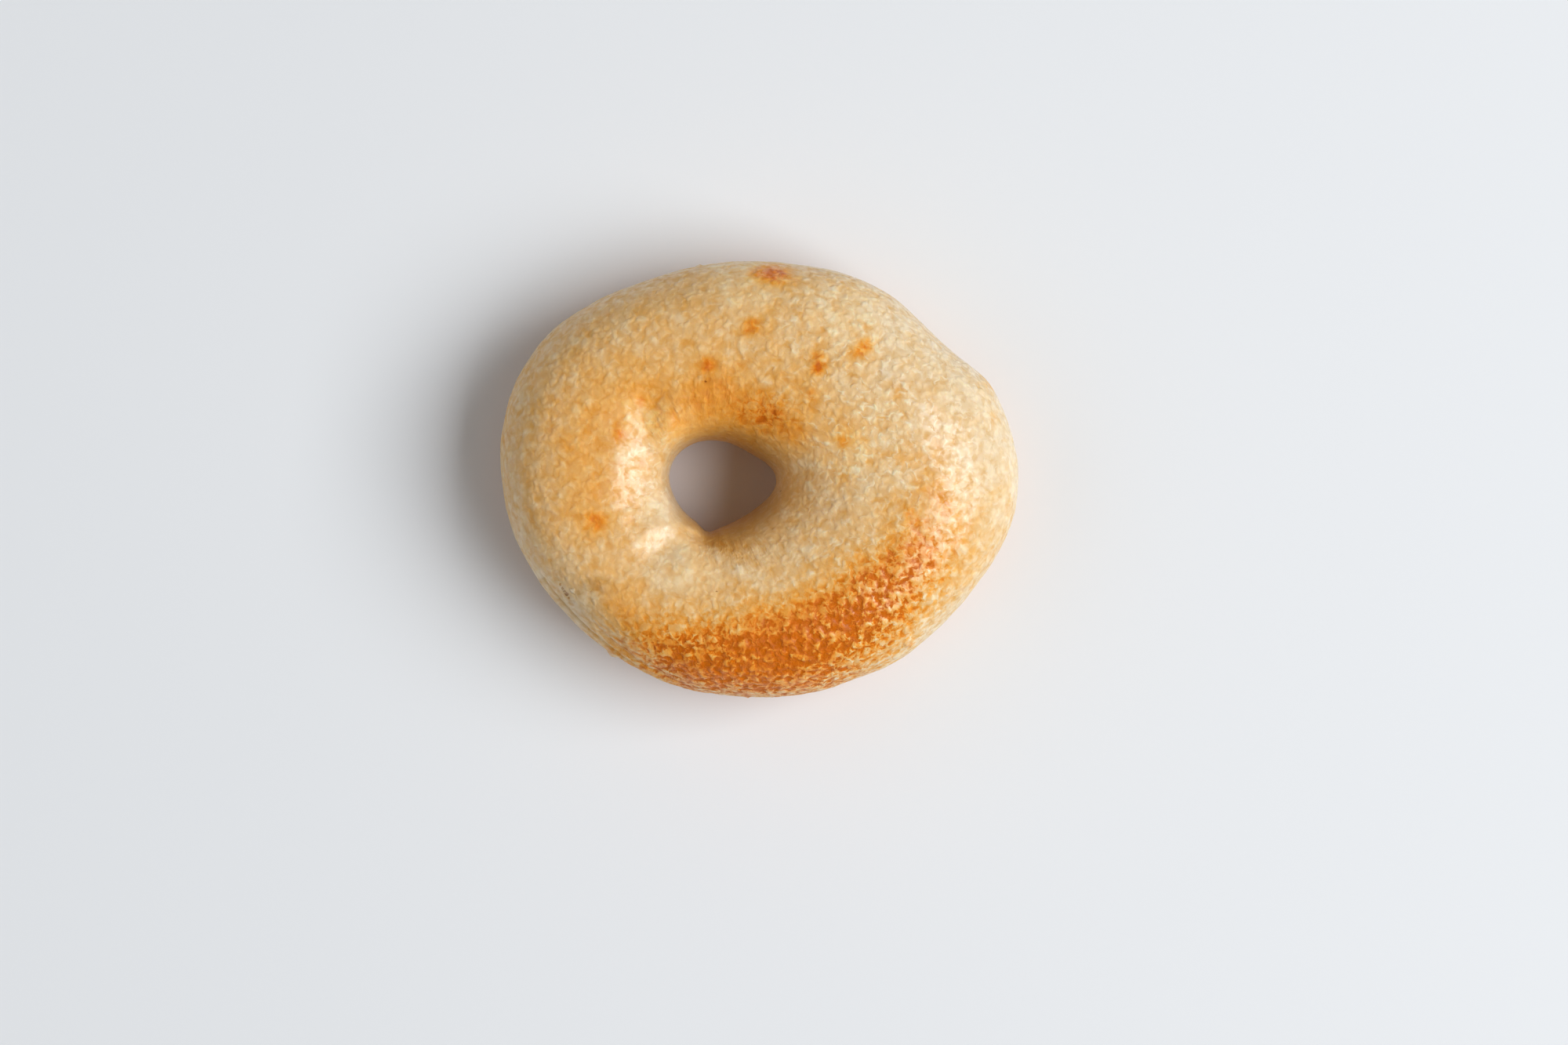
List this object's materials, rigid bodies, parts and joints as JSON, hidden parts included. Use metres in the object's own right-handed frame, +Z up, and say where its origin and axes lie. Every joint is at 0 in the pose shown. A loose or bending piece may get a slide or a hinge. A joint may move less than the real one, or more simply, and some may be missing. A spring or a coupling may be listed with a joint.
{
  "type": "plain bagel",
  "caption": "Whole plain bagel: an uneven ring of baked dough with a shiny golden crust, fatter on one side, lying flat with its toasted side up.",
  "frame": {"origin": "middle of the footprint, on the surface that the bagel rests on", "axes": "+X along the longest way across, from the thin side to the fat side; +Y across; +Z up, out of the toasted top"},
  "size_m": [0.11, 0.0928, 0.0375],
  "materials": {
    "crust": "pale golden baked crust, shiny from boiling, with toasted orange-brown patches"
  },
  "bodies": {
    "root": {"bagel": "crust"}
  },
  "joints": []
}
